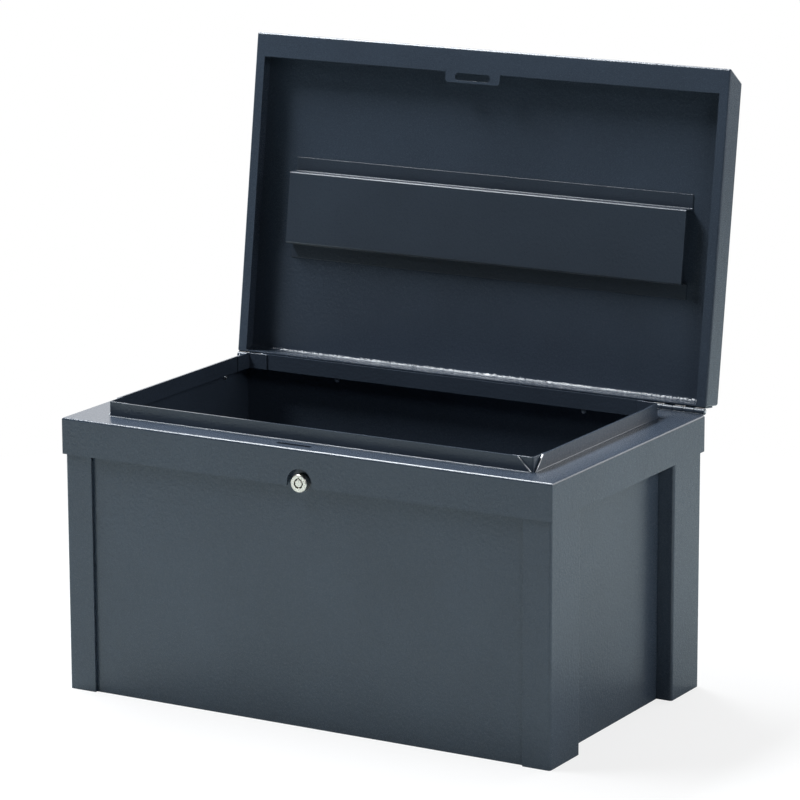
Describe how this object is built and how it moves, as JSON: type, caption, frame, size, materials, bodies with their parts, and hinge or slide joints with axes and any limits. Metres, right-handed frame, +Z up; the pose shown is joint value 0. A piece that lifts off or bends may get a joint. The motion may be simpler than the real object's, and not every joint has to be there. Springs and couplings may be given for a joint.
{
  "type": "metal storage chest",
  "caption": "Rectangular folded steel chest with corner posts, a raised rim round its mouth and a hinged tray lid that a key-turned hook locks at the front.",
  "frame": {"origin": "middle of the footprint on the floor, halfway between the cap's sides", "axes": "+X right along the front, +Y to the rear, +Z up"},
  "size_m": [0.61, 0.4419, 0.685],
  "materials": {
    "powder_coat": "dark blue-grey powder coat with a fine orange-peel surface, satin",
    "zinc_plate": "bright zinc-plated steel",
    "nickel_plate": "nickel-plated, polished"
  },
  "bodies": {
    "box": {"cap": "powder_coat", "gusset_front_left": "powder_coat", "gusset_front_right": "powder_coat", "gusset_rear_left": "powder_coat", "gusset_rear_right": "powder_coat", "post_front_left": "powder_coat", "post_front_right": "powder_coat", "post_rear_left": "powder_coat", "post_rear_right": "powder_coat", "front_panel": "powder_coat", "rear_panel": "powder_coat", "side_panel_left": "powder_coat", "side_panel_right": "powder_coat", "floor_pan": "powder_coat", "assembly_studs": "zinc_plate", "assembly_nuts": "zinc_plate", "hinge_body_leaf": "powder_coat", "hinge_pin": "zinc_plate", "lid_stop_left": "powder_coat", "lid_stop_right": "powder_coat", "lock_body": "nickel_plate", "lock_washer": "zinc_plate", "lock_nut": "zinc_plate"},
    "lid": {"lid_pan": "powder_coat", "lid_stiffener": "powder_coat", "hinge_lid_leaf": "powder_coat"},
    "lock_core": {"lock_plug": "nickel_plate", "hook_cam": "zinc_plate", "cam_nut": "zinc_plate"}
  },
  "joints": [
    {"name": "lid_hinge", "type": "hinge", "parent": "box", "child": "lid", "pos_m": [0, 0.1825, 0.3124], "axis": [1, 0, 0], "range_deg": [0, 98]},
    {"name": "lock_turn", "type": "hinge", "parent": "box", "child": "lock_core", "pos_m": [0, -0.1615, 0.273], "axis": [0, 1, 0], "range_deg": [0, 90]}
  ]
}
